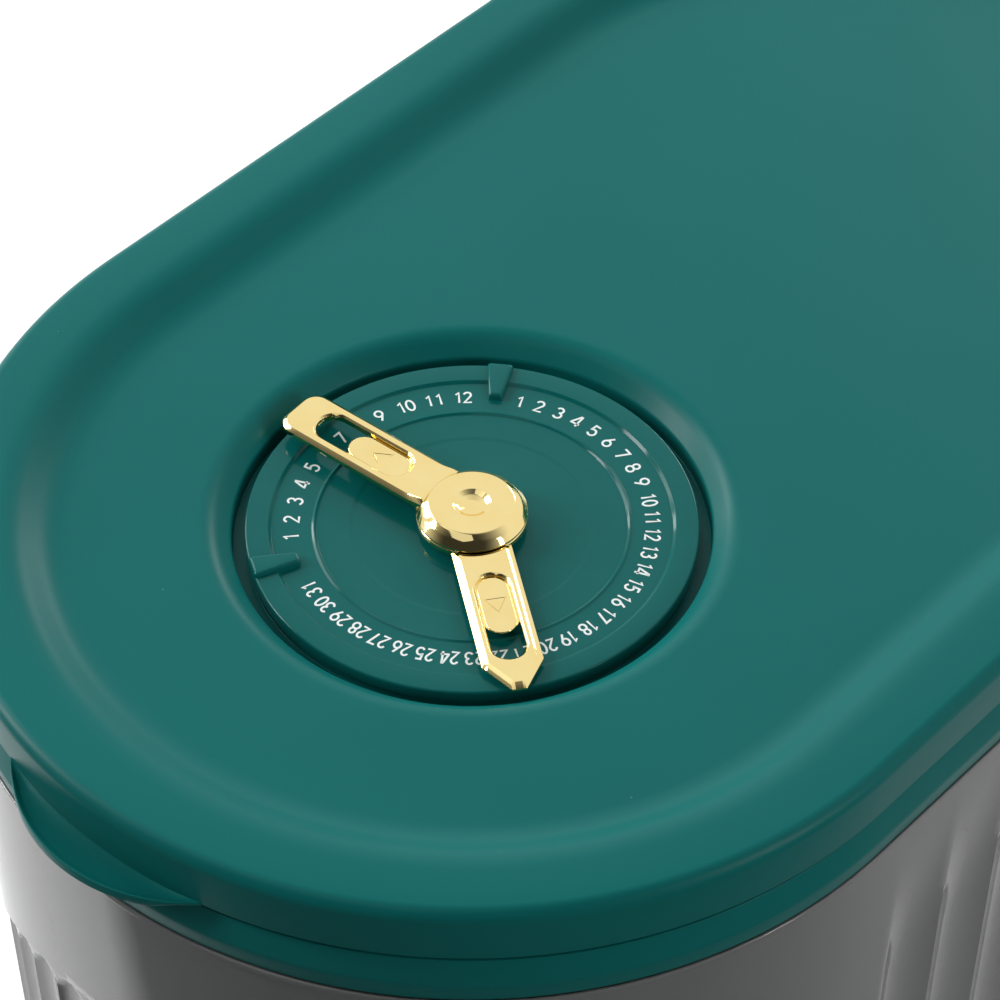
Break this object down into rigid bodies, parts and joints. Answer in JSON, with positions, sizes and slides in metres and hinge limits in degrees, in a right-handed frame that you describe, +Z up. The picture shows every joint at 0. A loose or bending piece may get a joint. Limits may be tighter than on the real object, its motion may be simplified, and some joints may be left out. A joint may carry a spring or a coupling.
{
  "type": "flip-lid rice storage bin",
  "caption": "Long round-ended rice bin: fluted smoke-grey tub, hinged dark green lid with a sealing ring, and a dial with gold month and day hands.",
  "frame": {"origin": "on the table, under the middle of the whole part's length and width", "axes": "+Z up; -Y is the front, with the finger tab and the dial; the hinge is at +Y and its axis runs along X"},
  "size_m": [0.204, 0.3412, 0.2497],
  "materials": {
    "tub": "clear smoke-grey moulded plastic, glossy",
    "lid": "dark green moulded plastic, satin",
    "dial": "dark green moulded plastic, high gloss",
    "hands": "gold plating, mirror bright",
    "silicone": "pale translucent silicone, matt",
    "steel": "plain steel",
    "nylon": "natural nylon",
    "sachet": "white fibre paper"
  },
  "bodies": {
    "base": {"tub": "tub", "collar": "lid", "collar_seal": "silicone", "hinge_pin": "steel", "foot_pad_front_left": "silicone", "foot_pad_front_right": "silicone", "foot_pad_rear_left": "silicone", "foot_pad_rear_right": "silicone"},
    "lid": {"lid_shell": "lid", "lid_liner": "lid", "lid_gasket": "silicone", "dial_disc": "dial", "day_washer": "nylon", "month_washer": "nylon", "liner_screw_1": "steel", "liner_screw_2": "steel", "liner_screw_3": "steel", "liner_screw_4": "steel", "liner_screw_5": "steel", "liner_screw_6": "steel"},
    "month_hand": {"month_hand": "hands", "hub_washer": "steel", "hub_screw": "steel"},
    "day_hand": {"day_hand": "hands"},
    "vent_cap": {"vent_cap": "lid", "desiccant_sachet": "sachet"}
  },
  "joints": [
    {"name": "lid_hinge", "type": "hinge", "parent": "base", "child": "lid", "pos_m": [0, 0.16655, 0.23625], "axis": [-1, 0, 0], "range_deg": [0, 105]},
    {"name": "month_hand_pivot", "type": "hinge", "parent": "lid", "child": "month_hand", "pos_m": [0, -0.06205, 0.2465], "axis": [0, 0, 1], "continuous": true},
    {"name": "day_hand_pivot", "type": "hinge", "parent": "lid", "child": "day_hand", "pos_m": [0, -0.06205, 0.244], "axis": [0, 0, 1], "continuous": true},
    {"name": "vent_cap_pull", "type": "slide", "parent": "lid", "child": "vent_cap", "axis": [0, 0, -1], "range_m": [0, 0.02]}
  ]
}
